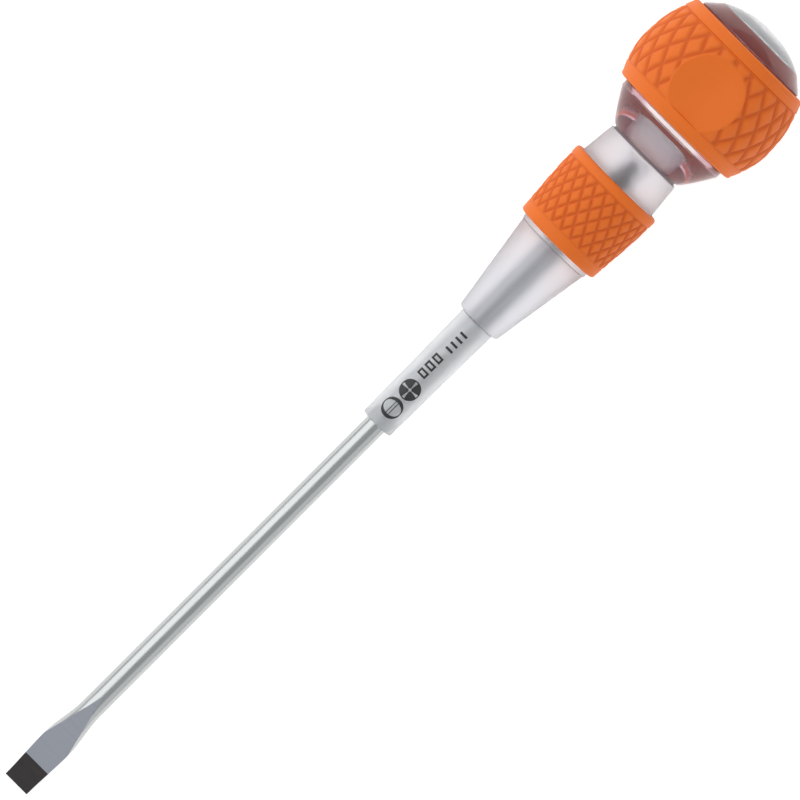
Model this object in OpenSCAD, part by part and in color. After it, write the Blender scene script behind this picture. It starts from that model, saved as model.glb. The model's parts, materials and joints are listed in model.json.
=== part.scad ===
// Reversible ball-grip screwdriver.
// A two-ended blade, slotted at one end and cross-point at the other, is keyed into a clear
// two-piece handle with a moulded neck ring and ball grip. A loose clear finger sleeve turns
// on a small bush that grips the shank. The tool lies on a bench: the origin is at the bottom
// centre of its box, +X runs from the slotted tip to the crown, +Z is up.
// Every *_at value is a distance along the tool's own axis from the slotted tip.

/* [Blade] */
// Diameter of the round shank
shank_d = 5.5; // [5:0.1:5.8]
// Width of the slotted tip at its end
tip_w = 7; // [6:0.1:7.4]
// Thickness of the slotted tip at its end
tip_t = 1; // [0.8:0.1:1.4]
// Greatest width of the slotted tip, where it flares
flare_w = 7.9; // [7.4:0.1:8.1]
// Distance from the tip to the widest part of the flare
flare_at = 13.4; // [10:0.1:16]
// Length of the flare, from the tip to the round shank
flare_len = 25.2; // [22:0.1:28]
// Length of the ground faces, measured from the tip
ground_len = 30.1; // [28.5:0.1:34]
// Length of blade in front of the handle
blade_out = 153.8; // [150:0.1:170]
// Length of blade inside the handle
blade_in = 51.7; // [50:0.1:52.5]

/* [Blade key] */
// Width across the two ears that turn the blade
ear_span = 8; // [7.6:0.1:8]
// Thickness of the ears
ear_t = 1.8; // [1.4:0.1:1.8]
// Length of the ears along the blade
ear_len = 7; // [5:0.1:7]
// Depth from the handle's nose face to the front of the ears
ear_depth = 34.4; // [33.5:0.1:35]
// Depth of the groove that the detent balls drop into
detent_groove = 0.35; // [0.2:0.05:0.5]
// Length of the cross point at the inner end
cross_len = 6; // [5:0.1:7]

/* [Finger sleeve] */
// Length of the sleeve
sleeve_len = 33.3; // [25:0.1:40]
// Outside diameter at the front end
sleeve_front_d = 8.54; // [8:0.02:9]
// Outside diameter at the back end
sleeve_back_d = 9.34; // [9:0.02:10]
// Length of the bush that carries the sleeve
bush_len = 2.8; // [2:0.1:5]
// Outside diameter of the bush
bush_d = 6.9; // [6.5:0.1:7.2]
// Gap between the sleeve and the handle's nose
nose_gap = 0.2; // [0.1:0.1:1]

/* [Nose and neck] */
// Diameter of the nose at its front face
nose_front_d = 11.8; // [11:0.1:13]
// Diameter of the nose at its back end
nose_back_d = 19.5; // [19:0.1:19.8]
// Length of the tapered nose
nose_len = 24.8; // [22:0.1:28]
// Radius of the rounded edge of the nose face
nose_corner = 0.9; // [0.5:0.1:1.2]
// Length of the lip behind the nose
lip_len = 1.2; // [0.8:0.1:2]
// Diameter of the lip
lip_d = 20; // [19.9:0.1:21]
// Length of the neck ring
neck_len = 20; // [19:0.1:22]
// Diameter of the core under the neck ring
neck_core_d = 18; // [17.5:0.1:18.4]
// Diameter of the neck ring at its front end
ring_front_d = 23; // [22:0.1:23.6]
// Diameter of the neck ring at its back end
ring_back_d = 25.4; // [24.6:0.1:26]
// Length of the clear waist
waist_len = 8.6; // [7:0.1:10]
// Diameter of the waist at its front end
waist_front_d = 22.2; // [21.5:0.1:23]
// Diameter of the waist at its back end
waist_back_d = 20.4; // [19.5:0.1:21]
// Diameter of the spigot that joins the two cores
spigot_d = 16.4; // [15:0.1:17]
// Length of the spigot behind the waist
spigot_len = 8.6; // [6:0.1:12]

/* [Ball] */
// Width of the open seam between the waist and the skirt
seam_w = 0.7; // [0.4:0.1:1]
// Depth of the seam below the waist's surface
seam_deep = 0.6; // [0.4:0.1:1.5]
// Length of the flared skirt
skirt_len = 7.8; // [7:0.1:9]
// Length of the flange in front of the ball grip
flange_len = 1.5; // [1:0.1:2]
// Diameter of the flange
flange_d = 31; // [30.4:0.1:31.6]
// Greatest diameter of the ball grip
ball_d = 40.2; // [40:0.1:42]
// Diameter of the ball grip at its front end
ball_front_d = 34.2; // [33.8:0.1:34.8]
// Distance from the flange to the greatest diameter
ball_front_len = 10.9; // [10.5:0.1:11.2]
// Distance from the greatest diameter to the shoulder
ball_back_len = 13.8; // [12:0.1:14]
// Radius of the outline behind the greatest diameter
ball_back_r = 31.5; // [28:0.1:34]
// Radius of the rounded edges of both grips
grip_edge = 0.8; // [0.4:0.1:1]
// Diameter of the core under the ball grip
ball_core_d = 29; // [28:0.1:30]
// Radius of each of the three thumb dishes
dish_r = 8.6; // [7:0.1:9]
// Depth of each thumb dish below the ball
dish_deep = 0.9; // [0.4:0.1:1.2]
// Depth of the border grooves round both grips
border_deep = 0.35; // [0.2:0.05:0.6]

/* [Crown] */
// Diameter of the shoulder where it meets the grip
shoulder_d = 32; // [31:0.1:32.4]
// Length of the sloping shoulder
shoulder_len = 3.7; // [3:0.1:5]
// Diameter of the domed lens
crown_d = 23.8; // [22:0.1:25]
// Height of the domed lens
crown_h = 3.2; // [2.6:0.1:4]
// Diameter of the label disc under the lens
disc_d = 21; // [18:0.1:21.5]
// Thickness of the label disc
disc_t = 0.5; // [0.3:0.1:1]

/* [Insert and detent] */
// Diameter of the keyed steel insert
insert_d = 13.6; // [13:0.1:14]
// Length of the insert
insert_len = 17; // [16:0.1:17.5]
// Depth from the nose face to the front of the insert
insert_depth = 27.2; // [26.8:0.1:27.6]
// Number of anchoring flutes round the insert
insert_flutes = 12; // [8:1:16]
// Diameter of the two detent balls
detent_ball_d = 3; // [2.6:0.1:3]
// Depth from the nose face to the centres of the detent balls
detent_depth = 30.4; // [30:0.1:31]
// Wire diameter of the C-shaped detent spring
clip_wire = 0.8; // [0.6:0.1:0.8]

/* [Hidden] */

$fn = 96;
run_gap = 0.07;        // radial clearance where one piece runs on another
ball_gap = 0.03;       // how far the detent balls stay off the shank
arc_steps = 14;        // straight steps in each long curved outline
edge_steps = 6;        // straight steps in each rounded edge
cut = 1;               // how far a cutting shape overshoots the solid

shank_r = shank_d / 2;
blade_len = blade_out + blade_in;
bore_d = shank_d + 2 * run_gap;
bore_end = blade_len + 1;
ear_at = blade_out + ear_depth;
slot_h = ear_span + 4 * run_gap;
slot_t = ear_t + 2 * run_gap;
slot_end = ear_at + ear_len + run_gap;

sleeve_back_at = blade_out - nose_gap;
sleeve_front_at = sleeve_back_at - sleeve_len;

nose_end_at = blade_out + nose_len;
neck_at = nose_end_at + lip_len;
waist_at = neck_at + neck_len;
waist_end_at = waist_at + waist_len;
skirt_at = waist_end_at + seam_w;
flange_at = skirt_at + skirt_len;
ball_at = flange_at + flange_len;
ball_max_at = ball_at + ball_front_len;
shoulder_at = ball_max_at + ball_back_len;
crown_at = shoulder_at + shoulder_len;
tool_len = crown_at + crown_h;

insert_at = blade_out + insert_depth;
detent_at = blade_out + detent_depth;
detent_y = shank_r + ball_gap + detent_ball_d / 2;
clip_r = detent_y + detent_ball_d / 2 + clip_wire / 2;

// The front of the ball is an arc about a point on its greatest radius, and the tool rests on it.
ball_r = ball_d / 2;
front_drop = ball_r - ball_front_d / 2;
ball_front_r = (ball_front_len ^ 2 + front_drop ^ 2) / (2 * front_drop);
dome_r = ((crown_d / 2) ^ 2 + crown_h ^ 2) / (2 * crown_h);

// Tilt of the axis when the tool lies on its tip and its ball.
rest_drop = ball_r - ball_front_r - tip_t / 2;
tilt = asin(ball_front_r / sqrt(ball_max_at ^ 2 + rest_drop ^ 2)) + atan2(rest_drop, ball_max_at);
tip_z = tip_t / 2 * cos(tilt);
tip_x = -((tool_len - dome_r) * cos(tilt) + dome_r - tip_t / 2 * sin(tilt)) / 2;

// A curve from 0 to 1 that leaves and arrives level.
function ease(x) = x * x * (3 - 2 * x);

// Half the blade's width at a distance along it.
function blade_half(at) =
    at < flare_at
        ? tip_w / 2 + (flare_w - tip_w) / 2 * ease(at / flare_at)
        : flare_w / 2 + (shank_r - flare_w / 2) * ease((at - flare_at) / (flare_len - flare_at));

// Points of a rounded edge of radius r about [cr, ca], from one angle to another.
function rounded(cr, ca, r, from, to) =
    [for (i = [0:edge_steps]) let (a = from + (to - from) * i / edge_steps)
        [cr + r * cos(a), ca + r * sin(a)]];

// Radius of the ball grip at a distance from its greatest diameter.
function ball_outline(off) =
    let (r = off < 0 ? ball_front_r : ball_back_r)
    ball_r - r + sqrt(r ^ 2 - off ^ 2);

// Radius of the neck ring at a distance from its front end.
function ring_outline(off) =
    ring_front_d / 2 + (ring_back_d - ring_front_d) / 2 * sin(90 * off / neck_len);

// Lays a piece drawn along +X from the tip in its resting place on the bench.
module posed() {
    translate([tip_x, 0, tip_z]) rotate([0, -tilt, 0]) children();
}

// Turns a half outline of [radius, distance] points about the tool's axis.
module turned(points) {
    rotate([0, 90, 0]) rotate_extrude() polygon(points);
}

// A round bar about the tool's axis.
module bar(from, to, d) {
    translate([from, 0, 0]) rotate([0, 90, 0]) cylinder(d = d, h = to - from);
}

// The running bore for the blade, and the tall slot that its ears pass through.
module blade_passage(from, to) {
    bar(from, to, bore_d);
    translate([from, -slot_t / 2, -slot_h / 2])
        cube([min(to, slot_end) - from, slot_t, slot_h]);
}

// One corner of the cross point: a square-edged notch that runs out along the blade.
module cross_notch() {
    notch_rise = 16;
    web = 0.55;
    long = 3 * cross_len;
    translate([blade_len, 0, 0]) rotate([45, 0, 0])
        translate([0, 0, web]) rotate([0, notch_rise, 0])
            translate([-long, 0, 0]) rotate([45, 0, 0])
                cube([long + cut, shank_d, shank_d]);
}

// The two ears stand up and down, square to the slotted tip.
module ears() {
    bevel = 0.8;
    half = ear_span / 2;
    translate([ear_at, ear_t / 2, 0]) rotate([90, 0, 0]) linear_extrude(ear_t)
        polygon([
            [0, -half + bevel], [bevel, -half], [ear_len - bevel, -half],
            [ear_len, -half + bevel], [ear_len, half - bevel], [ear_len - bevel, half],
            [bevel, half], [0, half - bevel]
        ]);
}

// The blade as turned, before its faces are ground.
module blade_blank() {
    groove_half = 1.1;
    point_r = 1.2;
    point_len = 0.5;
    flare = [for (i = [0:2 * arc_steps]) let (at = flare_len * i / (2 * arc_steps))
        [blade_half(at), at]];
    turned(concat([[0, 0]], flare, [
        [shank_r, detent_at - groove_half],
        [shank_r - detent_groove, detent_at - groove_half + detent_groove],
        [shank_r - detent_groove, detent_at + groove_half - detent_groove],
        [shank_r, detent_at + groove_half],
        [shank_r, blade_len - cross_len],
        [point_r, blade_len - point_len],
        [0, blade_len]
    ]));
}

// The wedge between the two ground faces of the slotted tip.
module ground_wedge() {
    wide = flare_w;
    translate([0, wide, 0]) rotate([90, 0, 0]) linear_extrude(2 * wide)
        polygon([
            [0, -tip_t / 2], [ground_len, -shank_r], [ground_len, -wide], [blade_len, -wide],
            [blade_len, wide], [ground_len, wide], [ground_len, shank_r], [0, tip_t / 2]
        ]);
}

// The steel bar from its ground tip to its inner end.
module ground_bar() {
    intersection() {
        blade_blank();
        ground_wedge();
    }
}

// Blade behind the ground faces: round shank, detent groove, ears and cross point.
module blade() {
    color("silver") posed() difference() {
        union() {
            intersection() {
                ground_bar();
                bar(ground_len, blade_len + cut, flare_w);
            }
            ears();
        }
        for (side = [0:3]) rotate([90 * side, 0, 0]) cross_notch();
    }
}

// Slotted tip: the flared, ground and blackened end of the same bar.
module blade_tip() {
    color("dimgray") posed() intersection() {
        ground_bar();
        bar(-cut, ground_len, flare_w + cut);
    }
}

// Bush inside the sleeve's front end, which grips the shank and lets the sleeve turn.
module sleeve_bush() {
    color("aliceblue") posed() difference() {
        bar(sleeve_front_at, sleeve_front_at + bush_len, bush_d);
        bar(sleeve_front_at - cut, sleeve_front_at + bush_len + cut, bore_d);
    }
}

// Clear finger sleeve, slightly tapered, counterbored for its bush.
module finger_sleeve() {
    edge = 0.3;
    fr = sleeve_front_d / 2;
    br = sleeve_back_d / 2;
    bush_hole = bush_d + 2 * run_gap;
    color("lavender", 0.4) posed() difference() {
        turned([
            [0, sleeve_front_at], [fr - edge, sleeve_front_at], [fr, sleeve_front_at + edge],
            [br, sleeve_back_at - edge], [br - edge, sleeve_back_at], [0, sleeve_back_at]
        ]);
        bar(sleeve_front_at - cut, sleeve_back_at + cut, bore_d + 2 * run_gap);
        bar(sleeve_front_at - cut, sleeve_front_at + bush_len + run_gap, bush_hole);
    }
}

// Clear front core: tapered nose, lip, neck, waist and the spigot that enters the ball core.
module nose_core() {
    nr = nose_front_d / 2;
    wr = waist_back_d / 2;
    edge = 0.4;
    color("lavender", 0.4) posed() difference() {
        turned(concat(
            [[0, blade_out]],
            rounded(nr - nose_corner, blade_out + nose_corner, nose_corner, -90, 0),
            [
                [nose_back_d / 2, nose_end_at], [lip_d / 2, nose_end_at],
                [lip_d / 2, neck_at], [neck_core_d / 2, neck_at],
                [neck_core_d / 2, waist_at], [waist_front_d / 2, waist_at],
                [wr, waist_end_at - edge], [wr - edge, waist_end_at],
                [wr - seam_deep, waist_end_at], [wr - seam_deep, skirt_at],
                [spigot_d / 2, skirt_at], [spigot_d / 2, waist_end_at + spigot_len],
                [0, waist_end_at + spigot_len]
            ]
        ));
        blade_passage(blade_out - cut, bore_end);
        bar(insert_at, insert_at + insert_len, insert_d);
    }
}

// Cuts a V-shaped border groove into a surface of radius r.
module border_groove(r, at) {
    floor_r = r - border_deep;
    turned([[floor_r, at], [2 * r - floor_r, at - 2 * border_deep],
        [2 * r - floor_r, at + 2 * border_deep]]);
}

// Neck ring, with a border groove near each end of its gripping field.
module neck_grip() {
    border_front = 3.4;
    border_back = 2;
    front = grip_edge;
    back = neck_len - grip_edge;
    color("orangered") posed() difference() {
        turned(concat(
            [[neck_core_d / 2, neck_at]],
            rounded(ring_outline(front) - grip_edge, neck_at + front, grip_edge, -90, 0),
            [for (i = [1:arc_steps - 1]) let (off = front + (back - front) * i / arc_steps)
                [ring_outline(off), neck_at + off]],
            rounded(ring_outline(back) - grip_edge, neck_at + back, grip_edge, 0, 90),
            [[neck_core_d / 2, waist_at]]
        ));
        for (off = [border_front, neck_len - border_back])
            border_groove(ring_outline(off), neck_at + off);
    }
}

// Keyed steel insert, fluted so that it can't turn in the nose core.
module key_insert() {
    flute_d = 1.6;
    flutes_from = 6;
    clip_slack = 0.05;
    insert_end = insert_at + insert_len;
    clip_floor = clip_r - clip_wire / 2 - clip_slack;
    clip_half = clip_wire / 2 + clip_slack;
    color("slategray") posed() difference() {
        bar(insert_at, insert_end, insert_d);
        blade_passage(insert_at - cut, insert_end + cut);
        for (i = [1:insert_flutes]) rotate([360 * (i - 0.5) / insert_flutes, 0, 0])
            translate([0, 0, insert_d / 2 + flute_d / 4])
                bar(insert_at + flutes_from, insert_end + cut, flute_d);
        turned([
            [clip_floor, detent_at - clip_half], [insert_d, detent_at - clip_half],
            [insert_d, detent_at + clip_half], [clip_floor, detent_at + clip_half]
        ]);
        translate([detent_at, 0, 0]) rotate([90, 0, 0])
            cylinder(d = detent_ball_d + 2 * run_gap, h = insert_d + cut, center = true);
    }
}

// Two detent balls, in their radial holes at the sides of the blade.
module detent_balls() {
    color("gainsboro") posed() for (side = [-1, 1])
        translate([detent_at, side * detent_y, 0]) sphere(d = detent_ball_d);
}

// C-shaped spring round the insert, open at the top, which presses the balls inward.
module detent_clip() {
    open_angle = 60;
    color("dimgray") posed() translate([detent_at, 0, 0]) rotate([0, 90, 0])
        rotate([0, 0, open_angle / 2 - 180]) rotate_extrude(angle = 360 - open_angle)
            translate([clip_r, 0]) circle(d = clip_wire, $fn = 24);
}

// Clear rear core: flared skirt, flange, the body under the grip, and the shoulder.
module ball_core() {
    edge = 0.3;
    skirt_bulge = 0.85;
    skirt_front_r = waist_back_d / 2;
    fr = flange_d / 2;
    skirt = [for (i = [0:arc_steps]) let (x = i / arc_steps)
        [skirt_front_r + (fr - skirt_front_r) * x ^ skirt_bulge, skirt_at + skirt_len * x]];
    color("thistle", 0.4) posed() difference() {
        turned(concat(
            [[0, skirt_at]], skirt,
            [
                [fr, ball_at - edge], [fr - edge, ball_at], [ball_core_d / 2, ball_at],
                [ball_core_d / 2, shoulder_at], [shoulder_d / 2, shoulder_at],
                [crown_d / 2, crown_at], [0, crown_at]
            ]
        ));
        bar(skirt_at - cut, waist_end_at + spigot_len, spigot_d);
        bar(crown_at - disc_t, crown_at + cut, disc_d);
    }
}

// Ball grip: two arcs that meet at the greatest diameter, border grooves, three thumb dishes.
module ball_grip() {
    border_front = 7.4;
    border_back = 10.5;
    dish_sphere = (dish_r ^ 2 + dish_deep ^ 2) / (2 * dish_deep);
    rim_front = ball_outline(-dish_r);
    rim_back = ball_outline(dish_r);
    rim_lean = atan2(rim_back - rim_front, 2 * dish_r);
    rim_height = ((rim_front + rim_back) / 2 + sqrt(ball_r ^ 2 - dish_r ^ 2)) / 2;
    front = grip_edge - ball_front_len;
    back = ball_back_len - grip_edge;
    steps = 2 * arc_steps;
    color("orangered") posed() difference() {
        turned(concat(
            [[ball_core_d / 2, ball_at]],
            rounded(ball_outline(front) - grip_edge, ball_max_at + front, grip_edge, -90, 0),
            [for (i = [1:steps - 1]) let (off = front + (back - front) * i / steps)
                [ball_outline(off), ball_max_at + off]],
            rounded(ball_outline(back) - grip_edge, ball_max_at + back, grip_edge, 0, 90),
            [[ball_core_d / 2, shoulder_at]]
        ));
        for (off = [-border_front, border_back])
            border_groove(ball_outline(off), ball_max_at + off);
        for (i = [0:2]) rotate([120 * i, 0, 0])
            translate([ball_max_at, 0, rim_height]) rotate([0, -rim_lean, 0])
                translate([0, 0, dish_sphere - dish_deep]) sphere(r = dish_sphere, $fn = 180);
    }
}

// White label disc under the lens.
module crown_disc() {
    mark_d = 6;
    color("white") posed() difference() {
        bar(crown_at - disc_t, crown_at, disc_d);
        bar(crown_at - disc_t / 2, crown_at + cut, mark_d);
    }
}

// Round black mark with a plain slot across it, set into the label disc.
module crown_mark() {
    mark_d = 6;
    slot_w = 1;
    color("black") posed() difference() {
        bar(crown_at - disc_t / 2, crown_at, mark_d);
        translate([crown_at - disc_t / 2 - cut, -mark_d / 3, -slot_w / 2])
            cube([disc_t + 2 * cut, 2 * mark_d / 3, slot_w]);
    }
}

// Clear domed lens that closes the end of the handle.
module crown_lens() {
    color("lavender", 0.4) posed() intersection() {
        translate([tool_len - dome_r, 0, 0]) sphere(r = dome_r, $fn = 256);
        bar(crown_at, tool_len + cut, crown_d + cut);
    }
}

blade();
blade_tip();
sleeve_bush();
finger_sleeve();
nose_core();
neck_grip();
key_insert();
detent_balls();
detent_clip();
ball_core();
ball_grip();
crown_disc();
crown_mark();
crown_lens();
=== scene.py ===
"""Looks of the reversible ball-grip screwdriver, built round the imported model.

Every piece is drawn in the tool's own frame, in millimetres: x runs along the tool's axis from
the middle of the slotted tip, z is square to it and upward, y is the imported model's y. TOOL lays
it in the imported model's frame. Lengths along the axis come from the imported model's nodes.
"""
import json
import math

import bmesh
import bpy
from mathutils import Matrix, Vector


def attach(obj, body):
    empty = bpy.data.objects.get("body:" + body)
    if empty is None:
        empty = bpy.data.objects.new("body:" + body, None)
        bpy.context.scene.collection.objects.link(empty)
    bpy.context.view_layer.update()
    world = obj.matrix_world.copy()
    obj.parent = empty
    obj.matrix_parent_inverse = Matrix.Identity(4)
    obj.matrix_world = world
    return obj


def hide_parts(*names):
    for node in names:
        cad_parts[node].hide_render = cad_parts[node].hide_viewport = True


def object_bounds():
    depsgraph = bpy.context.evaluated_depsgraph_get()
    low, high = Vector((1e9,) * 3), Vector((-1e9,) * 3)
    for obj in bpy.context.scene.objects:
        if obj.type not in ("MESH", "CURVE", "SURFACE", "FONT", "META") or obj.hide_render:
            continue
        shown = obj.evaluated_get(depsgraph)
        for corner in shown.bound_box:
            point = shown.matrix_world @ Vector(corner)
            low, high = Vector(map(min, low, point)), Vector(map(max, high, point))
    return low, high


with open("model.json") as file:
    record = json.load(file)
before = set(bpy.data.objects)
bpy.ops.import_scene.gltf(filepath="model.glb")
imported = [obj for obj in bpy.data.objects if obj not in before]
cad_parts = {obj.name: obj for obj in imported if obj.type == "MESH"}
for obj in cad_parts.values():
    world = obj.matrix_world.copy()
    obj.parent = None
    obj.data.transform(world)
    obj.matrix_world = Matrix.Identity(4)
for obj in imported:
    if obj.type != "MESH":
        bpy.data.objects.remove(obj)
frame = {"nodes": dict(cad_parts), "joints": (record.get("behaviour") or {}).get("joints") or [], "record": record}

CAD_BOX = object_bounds()
MM = 0.001
AROUND = 288          # points round a turned piece
CREASE = math.radians(28)
WELD = 0.000002       # doubled points closer than this, in metres, become one
CLEARANCE = 0.05      # how far a moulded-on piece sinks into the clear plastic that it grips


# ---------------------------------------------------------------- the tool's own frame

def tool_matrix():
    """The tool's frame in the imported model's: the axis is a joint's, the tip is the mount's."""
    joint = next(j for j in frame["joints"] if j["name"] == "handle_pull")
    tip = next(m for m in frame["record"]["mounts"] if m["name"] == "tip_face")
    along = Vector(joint["axis"]).normalized()
    across = Vector((0, 1, 0))
    up = along.cross(across)
    turn = Matrix((along, across, up)).transposed().to_4x4()
    return Matrix.Translation(Vector(tip["pos_m"])) @ turn


TOOL = tool_matrix()
TO_TOOL = TOOL.inverted()


def span(node):
    """Where a CAD node begins and ends along the tool's axis, in millimetres from the tip."""
    reach = [(TO_TOOL @ v.co).x / MM for v in frame["nodes"][node].data.vertices]
    return min(reach), max(reach)


TIP_END = span("blade_tip")[0]
GROUND_LEN, BLADE_END = span("blade")
SLEEVE_START, SLEEVE_END = span("finger_sleeve")
BUSH_START, BUSH_END = span("sleeve_bush")
NOSE_START, SPIGOT_END = span("nose_core")
RING_START, RING_END = span("neck_grip")
INSERT_START, INSERT_END = span("key_insert")
SKIRT_START, CROWN_START = span("ball_core")
BALL_START, BALL_END = span("ball_grip")
DISC_START = span("crown_disc")[0]
CROWN_END = span("crown_lens")[1]


# ---------------------------------------------------------------- mesh helpers

def ease(x):
    """A curve from 0 to 1 that leaves and arrives level."""
    x = min(max(x, 0.0), 1.0)
    return x * x * (3 - 2 * x)


def face_outward(mesh, weld_first=False):
    """Turns every face of a closed mesh outward, after welding doubled points if asked."""
    work = bmesh.new()
    work.from_mesh(mesh)
    if weld_first:
        bmesh.ops.remove_doubles(work, verts=work.verts, dist=WELD)
        bmesh.ops.dissolve_degenerate(work, edges=work.edges, dist=WELD)
    bmesh.ops.recalc_face_normals(work, faces=work.faces)
    work.to_mesh(mesh)
    work.free()


def weld(piece):
    """Joins a piece's doubled points and marks its sharp edges again."""
    face_outward(piece.data, True)
    piece.data.set_sharp_from_angle(angle=CREASE)


def finish_mesh(name, points, faces, body, materials, marks=None, replaces=()):
    """Makes an object from points in the tool's frame, in mm, and ties it to its body."""
    mesh = bpy.data.meshes.new(name)
    mesh.from_pydata([TOOL @ (Vector(p) * MM) for p in points], [], faces)
    for material in materials:
        mesh.materials.append(material)
    mesh.validate()
    face_outward(mesh)
    mesh.shade_smooth()
    mesh.set_sharp_from_angle(angle=CREASE)
    piece = bpy.data.objects.new(name, mesh)
    bpy.context.scene.collection.objects.link(piece)
    if marks:
        for label, values in marks.items():
            layer = mesh.attributes.new(label, "FLOAT", "POINT")
            layer.data.foreach_set("value", values)
    if replaces:
        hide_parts(*replaces)
    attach(piece, body)
    return piece


def loft(rings, around=AROUND):
    """Points and faces of a closed skin. A ring is (x, radius) or (x, function of the angle);
    the first and last are single points on the axis, or the skin joins its own start."""
    points = []
    starts = []
    for x, radius in rings:
        starts.append(len(points))
        if radius == 0:
            points.append((x, 0.0, 0.0))
            continue
        for i in range(around):
            a = 2 * math.pi * i / around
            r = radius(a) if callable(radius) else radius
            points.append((x, r * math.sin(a), r * math.cos(a)))
    sizes = [1 if radius == 0 else around for _, radius in rings]
    faces = []
    pairs = list(zip(range(len(rings) - 1), range(1, len(rings))))
    if sizes[0] != 1:
        pairs.append((len(rings) - 1, 0))
    for low, high in pairs:
        for i in range(around):
            j = (i + 1) % around
            a = [starts[low] + (i if sizes[low] > 1 else 0)]
            b = [starts[high] + (i if sizes[high] > 1 else 0)]
            if sizes[low] > 1:
                a.append(starts[low] + j)
            if sizes[high] > 1:
                b.append(starts[high] + j)
            faces.append(tuple(a + b[::-1]))
    return points, faces


def rounded(corners, steps=5):
    """An outline of (x, radius, fillet) corners with each fillet drawn as an arc."""
    out = []
    for i, (x, r, fillet) in enumerate(corners):
        here = Vector((x, r))
        if not fillet or i in (0, len(corners) - 1):
            out.append((x, r))
            continue
        back = (Vector(corners[i - 1][:2]) - here).normalized()
        ahead = (Vector(corners[i + 1][:2]) - here).normalized()
        half = back.angle(ahead) / 2
        reach = fillet / math.tan(half)
        centre = here + (back + ahead).normalized() * (fillet / math.sin(half))
        start = here + back * reach - centre
        turn = start.angle_signed(here + ahead * reach - centre)
        for k in range(steps + 1):
            spoke = start.copy()
            spoke.rotate(Matrix.Rotation(-turn * k / steps, 2))
            out.append(tuple(centre + spoke))
    return out


# ---------------------------------------------------------------- materials

def new_material(name):
    """A material, its nodes, its links and its shader."""
    material = bpy.data.materials.new(name)
    material.use_nodes = True
    nodes = material.node_tree.nodes
    return material, nodes, material.node_tree.links, nodes["Principled BSDF"]


def noise(nodes, links, scale, detail=3.0, stretch=(1, 1, 1), turned=None):
    """A noise pattern over the piece, its scale in features a metre, turned by three angles."""
    place = nodes.new("ShaderNodeTexCoord")
    mapping = nodes.new("ShaderNodeMapping")
    mapping.inputs["Scale"].default_value = stretch
    if turned is not None:
        mapping.inputs["Rotation"].default_value = turned
    links.new(place.outputs["Object"], mapping.inputs["Vector"])
    pattern = nodes.new("ShaderNodeTexNoise")
    pattern.inputs["Scale"].default_value = scale
    pattern.inputs["Detail"].default_value = detail
    links.new(mapping.outputs["Vector"], pattern.inputs["Vector"])
    return pattern.outputs["Fac"]


def spread(nodes, links, value, low, high):
    """value, from 0 to 1, taken to the range low to high."""
    node = nodes.new("ShaderNodeMapRange")
    node.inputs["To Min"].default_value = low
    node.inputs["To Max"].default_value = high
    links.new(value, node.inputs["Value"])
    return node.outputs["Result"]


def bump(nodes, links, shader, height, distance, strength=1.0):
    """Relief in the shading only: its distance in metres."""
    node = nodes.new("ShaderNodeBump")
    node.inputs["Strength"].default_value = strength
    node.inputs["Distance"].default_value = distance
    links.new(height, node.inputs["Height"])
    links.new(node.outputs["Normal"], shader.inputs["Normal"])


def blend_colours(nodes, links, factor, colour_a, colour_b):
    """colour_a where the factor is 0, colour_b where it is 1."""
    node = nodes.new("ShaderNodeMix")
    node.data_type = "RGBA"
    node.inputs["A"].default_value = (*colour_a, 1)
    node.inputs["B"].default_value = (*colour_b, 1)
    links.new(factor, node.inputs["Factor"])
    return node.outputs["Result"]


AXIS_TILT = (0.0, math.asin(TOOL[2][0]), 0.0)    # lays a stretched pattern along the tool


def clear_plastic(name, colour, rough_low, rough_high, painted_light_colour=None, clearness=1.0):
    """Clear cellulose plastic, faintly rippled by the mould; where a mask on the mesh marks it, painted shade or a
    painted reflection of the orange grip is mixed into its colour.
    """
    material, nodes, links, shader = new_material(name)
    cloud = noise(nodes, links, 420, 3.0)
    paler = tuple(min(1.0, 1.04 * c) for c in colour)
    body = blend_colours(nodes, links, cloud, colour, paler)
    # painted light: mixes painted shade or a painted reflection of the orange grip into the colour
    if painted_light_colour:
        painted_light_mask = nodes.new("ShaderNodeAttribute")
        painted_light_mask.attribute_name = "painted_light_mask"
        painted_light_mix = nodes.new("ShaderNodeMix")
        painted_light_mix.data_type = "RGBA"
        painted_light_mix.inputs["B"].default_value = (*painted_light_colour, 1)
        links.new(painted_light_mask.outputs["Fac"], painted_light_mix.inputs["Factor"])
        links.new(body, painted_light_mix.inputs["A"])
        body = painted_light_mix.outputs["Result"]
    links.new(body, shader.inputs["Base Color"])
    shader.inputs["Transmission Weight"].default_value = clearness
    shader.inputs["IOR"].default_value = 1.48
    grain = noise(nodes, links, 900, 2.0)
    links.new(spread(nodes, links, grain, rough_low, rough_high), shader.inputs["Roughness"])
    bump(nodes, links, shader, noise(nodes, links, 160, 1.0), 0.00002)
    return material


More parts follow.
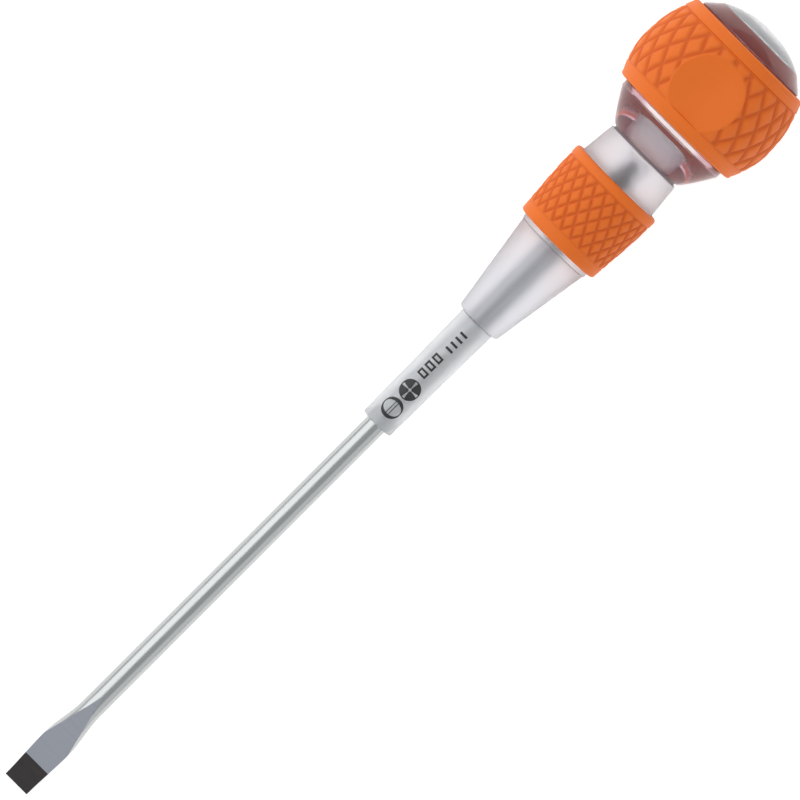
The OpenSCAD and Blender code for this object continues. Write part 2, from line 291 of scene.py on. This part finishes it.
def grip_rubber(name, colour, groove_shade_colour):
    """Satin elastomer with a fine moulded grain and a random mottle; the grooves are darker with painted shade."""
    material, nodes, links, shader = new_material(name)
    groove = nodes.new("ShaderNodeAttribute")
    groove.attribute_name = "groove"
    mottled = noise(nodes, links, 220, 4.0)
    # random mottle plus painted shade in the grooves, from the groove depth on the mesh
    mottle_and_groove_shade = nodes.new("ShaderNodeMath")
    mottle_and_groove_shade.operation = "MULTIPLY_ADD"
    links.new(mottled, mottle_and_groove_shade.inputs[0])
    mottle_and_groove_shade.inputs[1].default_value = 0.15
    links.new(groove.outputs["Fac"], mottle_and_groove_shade.inputs[2])
    mottle_and_groove_shade.use_clamp = True
    links.new(blend_colours(nodes, links, mottle_and_groove_shade.outputs[0], colour, groove_shade_colour),
              shader.inputs["Base Color"])
    grain = noise(nodes, links, 5200, 2.0)
    links.new(spread(nodes, links, grain, 0.46, 0.64), shader.inputs["Roughness"])
    shader.inputs["Specular IOR Level"].default_value = 0.25
    shader.inputs["Subsurface Weight"].default_value = 0.06
    shader.inputs["Subsurface Radius"].default_value = (0.0012, 0.0004, 0.0002)
    bump(nodes, links, shader, grain, 0.00004, 0.6)
    return material


def drawn_metal(name, colour, rough_low, rough_high, stretch, depth):
    """Metal with fine lines along or across the blade."""
    material, nodes, links, shader = new_material(name)
    shader.inputs["Metallic"].default_value = 1.0
    lines = noise(nodes, links, 1500, 4.0, stretch, AXIS_TILT)
    darker = tuple(0.82 * c for c in colour)
    links.new(blend_colours(nodes, links, lines, darker, colour), shader.inputs["Base Color"])
    links.new(spread(nodes, links, lines, rough_low, rough_high), shader.inputs["Roughness"])
    bump(nodes, links, shader, lines, depth)
    return material


def black_oxide():
    """Blackened hard steel with a faint brown cast and fine scratches across the tip."""
    material, nodes, links, shader = new_material("black_oxide")
    patches = noise(nodes, links, 700, 5.0, (1, 0.3, 1), AXIS_TILT)
    links.new(blend_colours(nodes, links, patches, (0.012, 0.009, 0.0105), (0.034, 0.025, 0.028)),
              shader.inputs["Base Color"])
    links.new(spread(nodes, links, patches, 0.34, 0.55), shader.inputs["Roughness"])
    bump(nodes, links, shader, noise(nodes, links, 2600, 3.0, (1, 0.15, 1), AXIS_TILT), 0.00003)
    return material


def milky_plastic():
    """Translucent nylon."""
    material, nodes, links, shader = new_material("bush_nylon")
    cloud = noise(nodes, links, 500, 3.0)
    links.new(blend_colours(nodes, links, cloud, (0.93, 0.96, 0.99), (0.97, 0.985, 1.0)),
              shader.inputs["Base Color"])
    shader.inputs["Transmission Weight"].default_value = 0.96
    shader.inputs["Roughness"].default_value = 0.35
    shader.inputs["IOR"].default_value = 1.5
    return material


def printed(name, colour, speckle):
    """Printed or moulded film with a slight unevenness."""
    material, nodes, links, shader = new_material(name)
    uneven = noise(nodes, links, 1800, 4.0)
    paler = tuple(min(1.0, c * (1 + speckle) + 0.02) for c in colour)
    links.new(blend_colours(nodes, links, uneven, colour, paler), shader.inputs["Base Color"])
    links.new(spread(nodes, links, uneven, 0.4, 0.6), shader.inputs["Roughness"])
    return material


# the nose's last colour is painted shade for the bottom of the seam groove
CLEAR_NOSE = clear_plastic("clear_nose", (0.85, 0.855, 0.89), 0.38, 0.5, (0.1, 0.08, 0.09), 0.9)
# the ball's last colour is a painted reflection of the orange grip, on the skirt's sides and round the shoulder
CLEAR_BALL = clear_plastic("clear_ball", (0.92, 0.92, 0.95), 0.04, 0.1, (0.5, 0.25, 0.34), 0.93)
CLEAR_LENS = clear_plastic("clear_lens", (0.92, 0.94, 0.95), 0.04, 0.1, clearness=0.88)
CLEAR_SLEEVE = clear_plastic("clear_sleeve", (0.94, 0.95, 0.965), 0.32, 0.46, clearness=0.76)
# the second colour is painted shade for the grips' grooves
ORANGE = grip_rubber("orange_elastomer", (0.85, 0.178, 0.019), (0.68, 0.118, 0.013))
CHROME = drawn_metal("polished_chrome", (0.545, 0.56, 0.555), 0.2, 0.34, (0.02, 1, 1), 0.000001)
GROUND = drawn_metal("ground_steel", (0.435, 0.457, 0.51), 0.42, 0.6, (1, 0.03, 1), 0.000012)
INSERT = drawn_metal("turned_steel", (0.42, 0.42, 0.43), 0.3, 0.45, (1, 0.03, 0.03), 0.000008)
BLACK = black_oxide()
NYLON = milky_plastic()
INK = printed("black_ink", (0.014, 0.014, 0.016), 0.5)
LABEL = printed("white_film", (0.82, 0.82, 0.83), 0.05)
LABEL_MARK = printed("mark_film", (0.02, 0.02, 0.02), 0.5)


# ---------------------------------------------------------------- the blade

SHANK_R = 2.75
TIP_HALF = 3.5            # half the tip's width
FLARE_HALF = 3.95         # half the width where the blade is widest
FLARE_AT = 13.4           # where that is
FLARE_LEN = 25.2          # where the flare has run out into the shank
TIP_THICK_HALF = 0.5
BLACK_LEN = 7.1
CROSS_LEN = 6.0
FLAT_STEPS = 10
SIDE_STEPS = 22
PLATED, BARE, BLACKENED = range(3)    # the blade's materials, in their order on the mesh


def blade_half_width(x):
    """The slotted end swells from the tip to the flare and narrows again to the shank."""
    if x < FLARE_AT:
        return TIP_HALF + (FLARE_HALF - TIP_HALF) * ease(x / FLARE_AT)
    swell = ease((x - FLARE_AT) / (FLARE_LEN - FLARE_AT))
    return FLARE_HALF + (SHANK_R - FLARE_HALF) * swell


def ground_half_width(x):
    """Half the width of the ground face: as wide as the blade at the tip, a point at its end."""
    if x <= FLARE_AT:
        return blade_half_width(x) * 0.985
    left = max(0.0, (GROUND_LEN - x) / (GROUND_LEN - FLARE_AT))
    return max(0.0, min(FLARE_HALF * left ** 1.05, blade_half_width(x) * 0.985))


def blade_section(x):
    """Points round the blade at x: the upper face, one side, the lower face, the other side."""
    wide = blade_half_width(x)
    flat = ground_half_width(x)
    thick = TIP_THICK_HALF + (SHANK_R - TIP_THICK_HALF) * min(x / GROUND_LEN, 1.0)
    tall = thick / math.sqrt(1 - (flat / wide) ** 2)
    start = math.asin(min(thick / tall, 1.0))
    half = [(flat * (1 - 2 * i / FLAT_STEPS), thick) for i in range(FLAT_STEPS)]
    for i in range(SIDE_STEPS):
        a = math.pi - start + 2 * start * i / SIDE_STEPS
        half.append((wide * math.cos(a), tall * math.sin(a)))
    return half + [(-y, -z) for y, z in half]


def cross_radius(x):
    """The cross point's outline as a function of the angle round the axis."""
    left = BLADE_END - x
    outer = SHANK_R - 1.55 * max(0.0, 1 - max(left - 0.5, 0) / (CROSS_LEN - 0.5))
    web = 0.55 + left * math.tan(math.radians(16))

    def radius(angle):
        off = (angle % (math.pi / 2)) - math.pi / 4
        return min(outer, web / max(math.cos(off) - abs(math.sin(off)), 0.05))

    return radius


def build_blade():
    count = 2 * (FLAT_STEPS + SIDE_STEPS)
    cross_start = BLADE_END - CROSS_LEN
    stations = [TIP_END + BLACK_LEN * i / 8 for i in range(9)]
    for low, high, steps in ((BLACK_LEN, GROUND_LEN, 70), (GROUND_LEN, cross_start, 40)):
        stations += [low + (high - low) * i / steps for i in range(1, steps + 1)]
    points = []
    for x in stations:
        points += [(x, y, z) for y, z in blade_section(x)]
    for i in range(1, 13):
        x = cross_start + CROSS_LEN * i / 12
        radius = cross_radius(x)
        for y, z in blade_section(cross_start):
            a = math.atan2(y, z)
            points.append((x, radius(a) * math.sin(a), radius(a) * math.cos(a)))
        stations.append(x)
    faces = [tuple(range(count))[::-1]]
    kinds = [BLACKENED]
    for s in range(len(stations) - 1):
        middle = (stations[s] + stations[s + 1]) / 2
        for i in range(count):
            j = (i + 1) % count
            faces.append((s * count + i, s * count + j, (s + 1) * count + j, (s + 1) * count + i))
            on_flat = i % (FLAT_STEPS + SIDE_STEPS) < FLAT_STEPS
            if middle < BLACK_LEN or middle > INSERT_END + 0.5:
                kinds.append(BLACKENED)
            else:
                kinds.append(BARE if on_flat and middle < GROUND_LEN else PLATED)
    top = (len(stations) - 1) * count
    faces.append(tuple(range(top, top + count)))
    kinds.append(BLACKENED)
    add_ears(points, faces, kinds)
    piece = finish_mesh("blade_steel", points, faces, "blade",
                        [CHROME, GROUND, BLACK], replaces=("blade", "blade_tip"))
    if len(piece.data.polygons) == len(kinds):
        piece.data.polygons.foreach_set("material_index", kinds)
    weld(piece)


def add_ears(points, faces, kinds):
    """The two ears that the handle turns the blade by, standing up and down."""
    start, long, half, thick, bevel, root = INSERT_END - 9.8, 7.0, 4.0, 0.9, 0.8, 1.5
    outline = [(0, root), (0, half - bevel), (bevel, half), (long - bevel, half),
               (long, half - bevel), (long, root)]
    for sign in (1, -1):
        base = len(points)
        for side in (thick, -thick):
            points.extend((start + x, side, sign * z) for x, z in outline)
        n = len(outline)
        ring = [tuple(base + i for i in range(n)), tuple(base + n + i for i in range(n))[::-1]]
        ring += [(base + i, base + n + i, base + n + (i + 1) % n, base + (i + 1) % n)
                 for i in range(n)]
        faces.extend(ring if sign < 0 else [f[::-1] for f in ring])
        kinds.extend([PLATED] * len(ring))


# ---------------------------------------------------------------- the finger sleeve

BORE_R = 2.82
SLEEVE_FRONT_R = 4.27
SLEEVE_BACK_R = 4.67
SLEEVE_BORE_R = 2.89
SEAT_END = SLEEVE_START + 3.1    # the end of the counterbore that the bush turns in
BUSH_R = 3.45
SEAT_R = BUSH_R + 0.07


def build_sleeve():
    outline = rounded([
        (SEAT_END, SLEEVE_BORE_R, 0), (SEAT_END, SEAT_R, 0), (SLEEVE_START, SEAT_R, 0.1),
        (SLEEVE_START, SLEEVE_FRONT_R, 0.35), (SLEEVE_END, SLEEVE_BACK_R, 0.35),
        (SLEEVE_END, SLEEVE_BORE_R, 0.1), (SEAT_END, SLEEVE_BORE_R, 0)])
    points, faces = loft(outline[:-1])
    finish_mesh("sleeve_clear", points, faces, "sleeve", [CLEAR_SLEEVE],
                replaces=("finger_sleeve",))


def build_bush():
    outline = rounded([
        (BUSH_END, BORE_R, 0), (BUSH_START, BORE_R, 0.15), (BUSH_START, BUSH_R, 0.15),
        (BUSH_END, BUSH_R, 0.15), (BUSH_END, BORE_R, 0)])
    points, faces = loft(outline[:-1], 144)
    finish_mesh("bush_ring", points, faces, "bush", [NYLON],
                replaces=("sleeve_bush",))


def sleeve_radius(x):
    """The outside of the tapered sleeve."""
    share = (x - SLEEVE_START) / (SLEEVE_END - SLEEVE_START)
    return SLEEVE_FRONT_R + (SLEEVE_BACK_R - SLEEVE_FRONT_R) * share


def print_patch(name, rows, centre, closed=True):
    """A thin printed shape on the sleeve, from rows of (along, across) points, each row beside
    the last. In a closed shape the rows are rings, the first one outside the second."""
    lift, film = 0.012, 0.012
    points, faces = [], []

    def lay(along, across, height):
        x = centre + along
        r = sleeve_radius(x) + height
        a = across / r
        return (x, r * math.sin(a), r * math.cos(a))

    n = len(rows[0])
    layer = n * len(rows)
    last = layer - n
    for height in (lift, lift + film):
        for row in rows:
            points.extend(lay(x, y, height) for x, y in row)
    for i in range(n if closed else n - 1):
        j = (i + 1) % n
        for a in range(0, last, n):
            b = a + n
            faces.append((a + i, a + j, b + j, b + i))
            faces.append((layer + a + j, layer + a + i, layer + b + i, layer + b + j))
        faces.append((j, i, layer + i, layer + j))
        faces.append((last + i, last + j, layer + last + j, layer + last + i))
    if not closed:
        for a in range(0, last, n):
            for side in (a, a + n - 1):
                faces.append((side, side + n, layer + side + n, layer + side))
    piece = finish_mesh(name, points, faces, "sleeve", [INK])
    weld(piece)


def ring_points(radius, steps=48):
    """A closed circle of points."""
    return [(radius * math.cos(2 * math.pi * i / steps),
             radius * math.sin(2 * math.pi * i / steps)) for i in range(steps)]


def bar_points(x0, x1, y0, y1, steps=6):
    """A bar's outline, split so that it bends round the sleeve."""
    out = [(x0, y0 + (y1 - y0) * i / steps) for i in range(steps)]
    out += [(x0 + (x1 - x0) * i / steps, y1) for i in range(steps)]
    out += [(x1, y1 + (y0 - y1) * i / steps) for i in range(steps)]
    out += [(x1 + (x0 - x1) * i / steps, y0) for i in range(steps)]
    return out


def bar_rows(x0, x1, y0, y1, steps=6):
    """A filled bar, in rows that bend round the sleeve."""
    return [[(x, y0 + (y1 - y0) * i / steps) for x in (x0, x1)] for i in range(steps + 1)]


def wedge_rows(inner, outer, middle, half, steps=12, rows=8):
    """A filled slice of a ring, from middle - half to middle + half, in degrees."""
    angles = [math.radians(middle - half + 2 * half * i / steps) for i in range(steps + 1)]
    radii = [inner + (outer - inner) * k / rows for k in range(rows + 1)]
    return [[(r * math.cos(a), r * math.sin(a)) for a in angles] for r in radii]


def build_prints():
    """Two screw heads, slotted and cross-point, then plain bars where the markings are."""
    head_r, rim = 2.65, 0.3
    slotted_at = SLEEVE_START + 5.5
    cross_at = SLEEVE_START + 11.4
    size_at, size_pitch, size_low, size_high, stroke = 15.5, 2.4, -0.6, 1.9, 0.5
    tick_at, tick_pitch = 24.2, 1.6
    inner = [(0.66 * x, 0.9 * y) for x, y in ring_points(head_r)]
    print_patch("print_slotted_rim", [ring_points(head_r), inner], slotted_at)
    for sign in (-1, 1):
        edge = 0.36 * sign
        print_patch("print_slotted_bar_" + ("a" if sign > 0 else "b"),
                    bar_rows(-2.0, 2.0, edge - 0.1, edge + 0.1), slotted_at, False)
    print_patch("print_cross_rim", [ring_points(head_r), ring_points(head_r - rim)], cross_at)
    for i in range(4):
        print_patch(f"print_cross_part_{i + 1}",
                    wedge_rows(0.38, head_r - rim, 45 + 90 * i, 36), cross_at, False)
    for i in range(3):
        low = size_at + size_pitch * i
        high = low + 1.7
        print_patch(f"print_size_{i + 1}",
                    [bar_points(low, high, size_low, size_high),
                     bar_points(low + stroke, high - stroke, size_low + stroke,
                                size_high - stroke)], SLEEVE_START)
    for i in range(4):
        low = tick_at + tick_pitch * i
        print_patch(f"print_tick_{i + 1}", bar_rows(low, low + 0.6, -0.9, 1.2), SLEEVE_START,
                    False)


# ---------------------------------------------------------------- the clear handle

SLOT_HALF_HIGH = 4.14     # the slot in the bore, which lets the blade's ears through
SLOT_HALF_WIDE = 0.97
NECK_CORE_R = 9.0
SPIGOT_R = 8.2
INSERT_R = 6.8
LIP_START = RING_START - 1.2
LIP_R = 10.0
WAIST_BACK_R = 10.2
WAIST_END = SKIRT_START - 0.7
SEAM_R = 9.6
FLANGE_R = 15.5
SKIRT_LEN = 7.8
BALL_CORE_R = 14.5
CROWN_R = 11.9
DISC_R = 10.5


def passage(angle):
    """Radius of the blade's bore with the tall slot for its ears."""
    s, c = abs(math.sin(angle)), abs(math.cos(angle))
    slot = min(SLOT_HALF_HIGH / max(c, 1e-6), SLOT_HALF_WIDE / max(s, 1e-6))
    return max(BORE_R, slot)


def build_nose():
    bore_end = BLADE_END + 1
    inner = [(bore_end, 0), (bore_end, BORE_R), (INSERT_END, BORE_R),
             (INSERT_END, INSERT_R - CLEARANCE), (INSERT_START, INSERT_R - CLEARANCE),
             (INSERT_START, passage), (NOSE_START, passage)]
    outer = rounded([
        (NOSE_START, 3.0, 0), (NOSE_START, 5.9, 0.9), (LIP_START, 9.75, 0.15),
        (LIP_START, LIP_R, 0.15), (RING_START, LIP_R, 0.15), (RING_START, NECK_CORE_R, 0),
        (RING_END, NECK_CORE_R, 0), (RING_END, 11.1, 0.2), (WAIST_END, WAIST_BACK_R, 0.25),
        (WAIST_END, SEAM_R, 0), (SKIRT_START, SEAM_R, 0), (SKIRT_START, SPIGOT_R, 0),
        (SPIGOT_END, SPIGOT_R, 0.3), (SPIGOT_END, 0, 0)])
    points, faces = loft(inner + outer[1:])
    # painted shade at the bottom of the seam groove, where the nose meets the ball
    seam_painted_shade = [1.0 if WAIST_END - 0.01 < x and math.hypot(y, z) > SEAM_R - 0.01 else 0.0
            for x, y, z in points]
    finish_mesh("nose_clear", points, faces, "handle", [CLEAR_NOSE],
                {"painted_light_mask": seam_painted_shade}, ("nose_core",))


def ball_painted_reflection(x, y, z):
    """How much painted reflection of the orange grip goes into the clear ball's colour: at the skirt's sides and
    behind.
    """
    if x > BALL_END - 1:
        return 0.85 if math.hypot(y, z) > 12.5 else 0.2
    radius = math.hypot(y, z)
    if radius < WAIST_BACK_R:
        return 0.0
    return 0.9 * ease((abs(y) / radius - 0.42) / 0.2)


def build_ball_core():
    steps = 24
    skirt = [(SKIRT_START + SKIRT_LEN * i / steps,
              WAIST_BACK_R + (FLANGE_R - WAIST_BACK_R) * (i / steps) ** 0.85, 0)
             for i in range(steps)]
    socket_end, socket_r = SPIGOT_END + 0.02, SPIGOT_R + 0.03
    outline = rounded(
        [(socket_end, 0, 0), (socket_end, socket_r, 0.3), (SKIRT_START, socket_r, 0.1)] + skirt +
        [(SKIRT_START + SKIRT_LEN, FLANGE_R, 0.3), (BALL_START, FLANGE_R, 0.3),
         (BALL_START, BALL_CORE_R, 0), (BALL_END, BALL_CORE_R, 0), (BALL_END, 16.0, 0.4),
         (CROWN_START, CROWN_R, 0.1), (CROWN_START, DISC_R, 0), (DISC_START, DISC_R, 0),
         (DISC_START, 0, 0)])
    points, faces = loft(outline)
    # painted reflection of the orange grip, mixed into the clear ball's colour
    finish_mesh("ball_clear", points, faces, "handle", [CLEAR_BALL],
                {"painted_light_mask": [ball_painted_reflection(x, y, z) for x, y, z in points]}, ("ball_core",))


def build_crown():
    high = CROWN_END - CROWN_START
    dome_r = (CROWN_R ** 2 + high ** 2) / (2 * high)
    steps = 40
    limit = math.asin(CROWN_R / dome_r)
    foot = CROWN_START + 0.01
    dome = [(foot, 0), (foot, CROWN_R - 0.02)]
    for i in range(steps):
        a = limit * (1 - i / steps)
        dome.append((CROWN_END - dome_r + dome_r * math.cos(a), dome_r * math.sin(a)))
    points, faces = loft(dome + [(CROWN_END, 0)])
    finish_mesh("crown_dome", points, faces, "handle", [CLEAR_LENS],
                replaces=("crown_lens",))


# ---------------------------------------------------------------- the grips

class Grip:
    """A moulded grip: smooth margins, and between them a field of soft raised diamonds."""

    def __init__(self, outline, pad_at, period, reach, count, fine, groove, dishes=None):
        self.outline = outline            # radius at a distance along the axis
        self.pad_at = pad_at              # where a row of diamonds is centred
        self.period = period              # from one row to the next but one
        self.fine = fine                  # net meshes along a diamond's side
        self.step = period / (2 * fine)
        self.low = pad_at - reach[0] * self.step    # where the field begins and ends
        self.high = pad_at + reach[1] * self.step
        self.levels = sum(reach)          # rings of net meshes in the field
        self.count = count                # diamonds round the grip
        self.deep, self.half = groove     # depth and half width of a groove
        self.dishes = dishes              # (axial centre, rim radius, depth) of three thumb dishes

    def groove(self, x, angle):
        """How deep the lattice of grooves is at a point, from 0 to 1."""
        s = angle / (2 * math.pi) * self.count
        t = (x - self.pad_at) / self.period + 0.5
        slope = math.hypot(self.count / (2 * math.pi * self.outline(x)), 1 / self.period)
        near = min(abs((s + t) - round(s + t)), abs((s - t) - round(s - t))) / slope
        lines = math.exp(-(near / self.half) ** 2)
        lines *= ease((x - self.low) / self.half) * ease((self.high - x) / self.half)
        front = 0.35 * math.exp(-((x - self.low) / (0.7 * self.half)) ** 2)
        back = 0.6 * math.exp(-((self.high - x) / (0.7 * self.half)) ** 2)
        return max(lines, front, back)

    def dish(self, x, angle):
        """(depth of the dish, distance outside its rim) at a point."""
        centre, rim, deep = self.dishes
        off = (angle + math.pi / 3) % (2 * math.pi / 3) - math.pi / 3
        from_middle = math.hypot(x - centre, self.outline(x) * off)
        return deep * max(0.0, 1 - (from_middle / rim) ** 2), from_middle - rim

    def surface(self, x, angle):
        """(radius, groove mark) at a point of the field."""
        depth = self.groove(x, angle)
        cup = 0.0
        if self.dishes:
            cup, past_rim = self.dish(x, angle)
            depth *= ease(past_rim / 0.6)
        return self.outline(x) - self.deep * depth - cup, depth

    def build(self, name, before, after, replaces):
        """before and after are the smooth outlines from the core up to the field and down again."""
        around = self.count * self.fine
        points, marks, faces = [], [], []

        def ring(x, radius, shift=0.0):
            start = len(points)
            for i in range(around):
                a = 2 * math.pi * (i + shift) / around
                if radius is None:
                    r, mark = self.surface(x, a)
                else:
                    r, mark = radius, 0.0
                points.append((x, r * math.sin(a), r * math.cos(a)))
                marks.append(mark)
            return start

        def strip(a, b):
            for i in range(around):
                j = (i + 1) % around
                faces.append((a + i, a + j, b + j, b + i))

        smooth = [ring(x, r) for x, r in before]
        net = []
        for level in range(self.levels + 1):
            net.append(ring(self.low + level * self.step, None, 0.5 if level % 2 else 0.0))
        back = [ring(x, r) for x, r in after]
        for a, b in zip(smooth, smooth[1:] + net[:1]):
            strip(a, b)
        for level in range(self.levels - 1):
            low, middle, high = net[level], net[level + 1], net[level + 2]
            for i in range(around):
                if level % 2 == 0:
                    left, right = (i - 1) % around, i
                else:
                    left, right = i, (i + 1) % around
                faces.append((low + i, middle + right, high + i, middle + left))
        first, second = net[0], net[1]
        last, below = net[-1], net[-2]
        for i in range(around):
            j = (i + 1) % around
            faces.append((first + i, first + j, second + i))
            faces.append((last + j, last + i, below + i))
        for a, b in zip([net[-1]] + back, back):
            strip(a, b)
        strip(back[-1], smooth[0])
        # the groove depth goes on the mesh, where the rubber's material turns it into painted shade
        return finish_mesh(name, points, faces, "handle", [ORANGE],
                           {"groove": marks}, replaces)


def ring_outline(x):
    """The neck ring's radius along the axis, before its diamonds."""
    return 11.5 + 1.2 * math.sin(math.pi / 2 * (x - RING_START) / (RING_END - RING_START))


def build_neck_grip():
    edge = 0.8
    inner = NECK_CORE_R - CLEARANCE
    grip = Grip(ring_outline, RING_START + 8.8, 5.2, (26, 40), 24, 12, (0.36, 0.42))
    low, high = grip.low, grip.high
    before = rounded([(RING_START, inner, 0), (RING_START, ring_outline(RING_START + edge), edge),
                      (low - 1.0, ring_outline(low - 1.0), 0)], 8)
    before += [(low - 1.0 + 0.25 * i, ring_outline(low - 1.0 + 0.25 * i)) for i in range(1, 4)]
    after = [(high + 0.25 * i, ring_outline(high + 0.25 * i)) for i in range(1, 4)]
    after += rounded([(high + 1.0, ring_outline(high + 1.0), 0),
                      (RING_END, ring_outline(RING_END - edge), edge), (RING_END, inner, 0)], 8)
    grip.build("neck_ring", before, after, ("neck_grip",))


BALL_MAX_AT = BALL_START + 10.9
BALL_R = 20.1
BALL_FRONT_ARC = 21.3017
BALL_BACK_ARC = 31.5


def ball_outline(x):
    """The ball's radius along the axis, before its diamonds and dishes."""
    off = x - BALL_MAX_AT
    arc = BALL_FRONT_ARC if off < 0 else BALL_BACK_ARC
    return BALL_R - arc + math.sqrt(arc ** 2 - off ** 2)


def build_ball_grip():
    edge = 0.8
    inner = BALL_CORE_R - CLEARANCE
    grip = Grip(ball_outline, BALL_MAX_AT - 2.4, 8.12, (20, 52), 24, 16, (0.46, 0.62),
                (BALL_MAX_AT, 8.95, 2.7))
    low, high = grip.low, grip.high
    front, back = BALL_START + edge, BALL_END - edge
    before = rounded([(BALL_START, inner, 0), (BALL_START, ball_outline(front), edge),
                      (front + 0.2, ball_outline(front + 0.2), 0)], 8)
    steps = 10
    start = front + 0.2
    before += [(start + (low - start) * i / steps, ball_outline(start + (low - start) * i / steps))
               for i in range(1, steps)]
    stop = back - 0.2
    after = [(high + (stop - high) * i / steps, ball_outline(high + (stop - high) * i / steps))
             for i in range(1, steps)]
    after += rounded([(stop, ball_outline(stop), 0), (BALL_END, ball_outline(back), edge),
                      (BALL_END, inner, 0)], 8)
    grip.build("ball_skin", before, after, ("ball_grip",))


# ---------------------------------------------------------------- stage, light and camera

def build_stage():
    """A plain white floor."""
    half = 3.0
    mesh = bpy.data.meshes.new("floor")
    mesh.from_pydata([(-half, -half, 0), (half, -half, 0), (half, half, 0), (-half, half, 0)], [],
                     [(0, 1, 2, 3)])
    material, _, _, shader = new_material("floor_white")
    shader.inputs["Base Color"].default_value = (0.5, 0.5, 0.5, 1)
    shader.inputs["Roughness"].default_value = 0.9
    shader.inputs["Emission Color"].default_value = (1, 1, 1, 1)
    shader.inputs["Emission Strength"].default_value = 0.8
    mesh.materials.append(material)
    floor = bpy.data.objects.new("floor", mesh)
    bpy.context.scene.collection.objects.link(floor)


def softbox(name, angle, distance, size_along, size_across, radiance):
    """A soft box beside the tool, tilted from overhead by angle towards +Y, facing the tool."""
    light = bpy.data.lights.new(name, "AREA")
    light.shape = "RECTANGLE"
    light.size = size_along
    light.size_y = size_across
    light.energy = radiance * math.pi * size_along * size_across
    lamp = bpy.data.objects.new(name, light)
    lamp.location = (0, distance * math.sin(angle), distance * math.cos(angle))
    lamp.rotation_euler = (-angle, 0, 0)
    lamp.visible_camera = False
    bpy.context.scene.collection.objects.link(lamp)


def build_world():
    """A pale, even studio."""
    world = bpy.data.worlds.new("studio")
    world.use_nodes = True
    nodes, links = world.node_tree.nodes, world.node_tree.links
    place = nodes.new("ShaderNodeTexCoord")
    split = nodes.new("ShaderNodeSeparateXYZ")
    ramp = nodes.new("ShaderNodeValToRGB")
    ramp.color_ramp.elements[0].position = 0.35
    ramp.color_ramp.elements[0].color = (0.5, 0.5, 0.52, 1)
    ramp.color_ramp.elements[1].position = 0.97
    ramp.color_ramp.elements[1].color = (0.50, 0.51, 0.52, 1)
    links.new(place.outputs["Generated"], split.inputs["Vector"])
    links.new(split.outputs["Z"], ramp.inputs["Fac"])
    links.new(ramp.outputs["Color"], nodes["Background"].inputs["Color"])
    bpy.context.scene.world = world


def build_camera():
    """Straight down, turned so that the tool runs from the lower left to the upper right."""
    lens, sensor, view_width, aim_shift = 290.0, 36.0, 0.1869, 0.0030
    low, high = CAD_BOX
    middle = [(a + b) / 2 for a, b in zip(low, high)]
    data = bpy.data.cameras.new("camera")
    data.lens = lens
    data.sensor_width = sensor
    data.clip_end = 20
    camera = bpy.data.objects.new("camera", data)
    distance = view_width * lens / sensor
    camera.location = (middle[0] + aim_shift, middle[1], middle[2] / 2 + distance)
    camera.rotation_euler = (0, 0, math.radians(-45))
    bpy.context.scene.collection.objects.link(camera)
    bpy.context.scene.camera = camera


def dress_cad_nodes():
    """Finishes for the CAD nodes that are shown as they are."""
    finishes = {"key_insert": INSERT, "detent_balls": CHROME, "detent_clip": INSERT,
                "crown_disc": LABEL, "crown_mark": LABEL_MARK}
    for node, material in finishes.items():
        mesh = frame["nodes"][node].data
        mesh.materials.clear()
        mesh.materials.append(material)


build_camera()
build_blade()
build_bush()
build_sleeve()
build_prints()
build_nose()
build_ball_core()
build_crown()
build_neck_grip()
build_ball_grip()
dress_cad_nodes()
build_stage()
build_world()
softbox("key_box", math.radians(42), 1.1, 1.7, 1.25, 1.18)
softbox("fill_box", math.radians(-62), 1.1, 1.7, 0.75, 0.42)
bpy.context.scene.view_settings.view_transform = "Standard"
